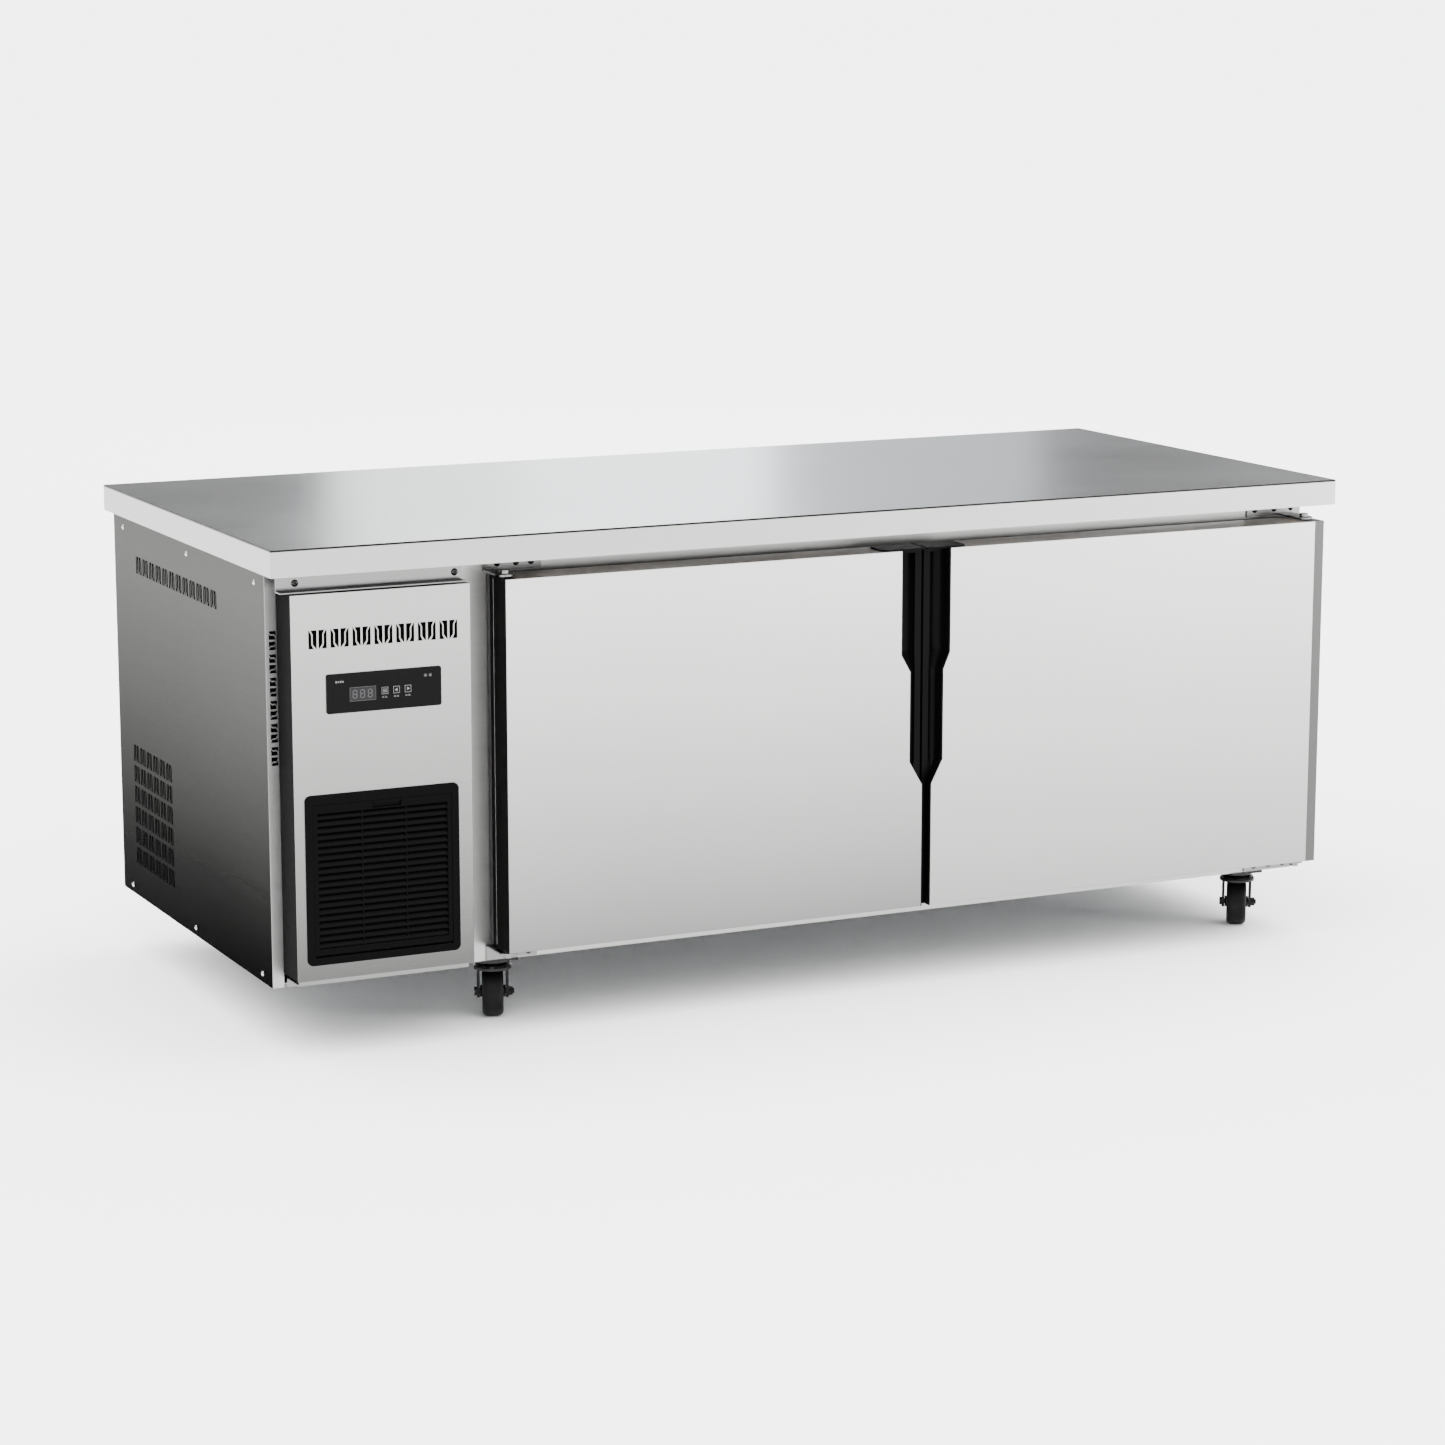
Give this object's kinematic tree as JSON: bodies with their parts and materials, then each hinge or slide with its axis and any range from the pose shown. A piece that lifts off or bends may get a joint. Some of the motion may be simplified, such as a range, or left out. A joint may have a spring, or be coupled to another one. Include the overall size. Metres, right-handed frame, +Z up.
{
  "type": "undercounter refrigerator",
  "caption": "Low stainless steel counter fridge with a flat worktop, hinged doors, a side machine compartment and swivel casters.",
  "frame": {"origin": "on the floor under the middle of the worktop", "axes": "+X right along the length, +Y towards the back, +Z up; the doors face -Y"},
  "size_m": [1.8, 0.8, 0.75],
  "materials": {
    "stainless": "brushed satin stainless steel",
    "stainless_top": "fine brushed stainless steel, a little glossier",
    "galvanised": "plain galvanised sheet",
    "board": "moisture-proof board under the worktop",
    "foam": "rigid foam",
    "liner_steel": "bright satin liner sheet",
    "fin_aluminium": "plain aluminium fins",
    "coated_wire": "grey-white plastic coated wire",
    "black_plastic": "satin black extrusion",
    "grey_plastic": "dark grey plastic",
    "fascia_plastic": "satin black overlay",
    "display": "dark window with grey figures",
    "button_plastic": "black keys with a pale outline",
    "black_paint": "black enamel",
    "copper": "bright copper tube",
    "dark_screw": "dark polished screw heads",
    "bright_screw": "polished screw heads",
    "dark_liner": "dark grey vacuum-formed door liner",
    "gasket": "dark grey magnetic gasket",
    "grey_trim": "mid grey satin profile",
    "tyre": "black moulded wheel"
  },
  "bodies": {
    "cabinet": {"air_filter": "grey_plastic", "back_panel": "galvanised", "base_pan": "galvanised", "bracket_screws": "dark_screw", "cable_gland": "black_plastic", "caster_plates": "black_paint", "centre_mullion": "stainless", "compressor": "black_paint", "condensate_tray": "galvanised", "condenser": "fin_aluminium", "condenser_fan_motor": "black_paint", "control_fascia": "fascia_plastic", "control_housing": "grey_plastic", "display_window": "display", "evaporator_cover": "liner_steel", "evaporator_unit": "fin_aluminium", "fan_shroud": "black_paint", "front_frame": "stainless", "grille_frame": "black_plastic", "hinge_brackets": "stainless", "inner_liner": "liner_steel", "insulation_foam": "foam", "left_side_panel": "stainless", "machine_panel": "stainless", "machine_panel_brackets": "stainless", "machine_panel_trim": "black_plastic", "panel_screws": "bright_screw", "rear_vent_panel": "galvanised", "refrigerant_pipes": "copper", "right_side_panel": "stainless", "shelf_clips": "liner_steel", "shelf_left": "coated_wire", "shelf_right": "coated_wire", "shelf_uprights": "liner_steel", "worktop_core": "board", "worktop_skin": "stainless_top"},
    "door_left": {"door_left_gasket": "gasket", "door_left_handle": "black_plastic", "door_left_hinge_trim": "black_plastic", "door_left_liner": "dark_liner", "door_left_skin": "stainless"},
    "door_right": {"door_right_gasket": "gasket", "door_right_handle": "black_plastic", "door_right_hinge_trim": "grey_trim", "door_right_liner": "dark_liner", "door_right_skin": "stainless"},
    "button_1": {"control_button_1": "button_plastic"},
    "button_2": {"control_button_2": "button_plastic"},
    "button_3": {"control_button_3": "button_plastic"},
    "hatch": {"grille_hatch": "black_plastic"},
    "condenser_fan_rotor": {"condenser_fan": "fin_aluminium"},
    "evaporator_fan_rotor": {"evaporator_fan": "black_plastic"},
    "caster_front_left": {"caster_fork_front_left": "black_paint"},
    "wheel_front_left": {"caster_wheel_front_left": "tyre"},
    "caster_front_right": {"caster_fork_front_right": "black_paint"},
    "wheel_front_right": {"caster_wheel_front_right": "tyre"},
    "caster_rear_left": {"caster_fork_rear_left": "black_paint"},
    "wheel_rear_left": {"caster_wheel_rear_left": "tyre"},
    "caster_rear_right": {"caster_fork_rear_right": "black_paint"},
    "wheel_rear_right": {"caster_wheel_rear_right": "tyre"}
  },
  "joints": [
    {"name": "door_left_hinge", "type": "hinge", "parent": "cabinet", "child": "door_left", "pos_m": [-0.532, -0.37, 0.4045], "axis": [0, 0, -1], "range_deg": [0, 100]},
    {"name": "door_right_hinge", "type": "hinge", "parent": "cabinet", "child": "door_right", "pos_m": [0.86, -0.37, 0.4045], "axis": [0, 0, 1], "range_deg": [0, 110]},
    {"name": "hatch_hinge", "type": "hinge", "parent": "cabinet", "child": "hatch", "pos_m": [-0.735, -0.3954, 0.157], "axis": [1, 0, 0], "range_deg": [0, 75]},
    {"name": "button_1_press", "type": "slide", "parent": "cabinet", "child": "button_1", "axis": [0, 1, 0], "range_m": [0, 0.0009], "stiffness_N_per_m": 400},
    {"name": "button_2_press", "type": "slide", "parent": "cabinet", "child": "button_2", "axis": [0, 1, 0], "range_m": [0, 0.0009], "stiffness_N_per_m": 400},
    {"name": "button_3_press", "type": "slide", "parent": "cabinet", "child": "button_3", "axis": [0, 1, 0], "range_m": [0, 0.0009], "stiffness_N_per_m": 400},
    {"name": "condenser_fan_spin", "type": "hinge", "parent": "cabinet", "child": "condenser_fan_rotor", "pos_m": [-0.74, -0.228, 0.265], "axis": [0, 1, 0], "continuous": true},
    {"name": "evaporator_fan_spin", "type": "hinge", "parent": "cabinet", "child": "evaporator_fan_rotor", "pos_m": [-0.451, 0, 0.53], "axis": [1, 0, 0], "continuous": true},
    {"name": "caster_front_left_swivel", "type": "hinge", "parent": "cabinet", "child": "caster_front_left", "pos_m": [-0.525, -0.29, 0.083], "axis": [0, 0, 1], "continuous": true},
    {"name": "wheel_front_left_spin", "type": "hinge", "parent": "caster_front_left", "child": "wheel_front_left", "pos_m": [-0.51901, -0.27516, 0.0375], "axis": [0.9272, -0.3746, 0], "continuous": true},
    {"name": "caster_front_right_swivel", "type": "hinge", "parent": "cabinet", "child": "caster_front_right", "pos_m": [0.803, -0.29, 0.083], "axis": [0, 0, 1], "continuous": true},
    {"name": "wheel_front_right_spin", "type": "hinge", "parent": "caster_front_right", "child": "wheel_front_right", "pos_m": [0.81171, -0.27658, 0.0375], "axis": [0.8387, -0.5446, 0], "continuous": true},
    {"name": "caster_rear_left_swivel", "type": "hinge", "parent": "cabinet", "child": "caster_rear_left", "pos_m": [-0.525, 0.29, 0.083], "axis": [0, 0, 1], "continuous": true},
    {"name": "wheel_rear_left_spin", "type": "hinge", "parent": "caster_rear_left", "child": "wheel_rear_left", "pos_m": [-0.51849, 0.30462, 0.0375], "axis": [0.9135, -0.4067, 0], "continuous": true},
    {"name": "caster_rear_right_swivel", "type": "hinge", "parent": "cabinet", "child": "caster_rear_right", "pos_m": [0.803, 0.29, 0.083], "axis": [0, 0, 1], "continuous": true},
    {"name": "wheel_rear_right_spin", "type": "hinge", "parent": "caster_rear_right", "child": "wheel_rear_right", "pos_m": [0.81124, 0.30372, 0.0375], "axis": [0.8572, -0.515, 0], "continuous": true}
  ]
}
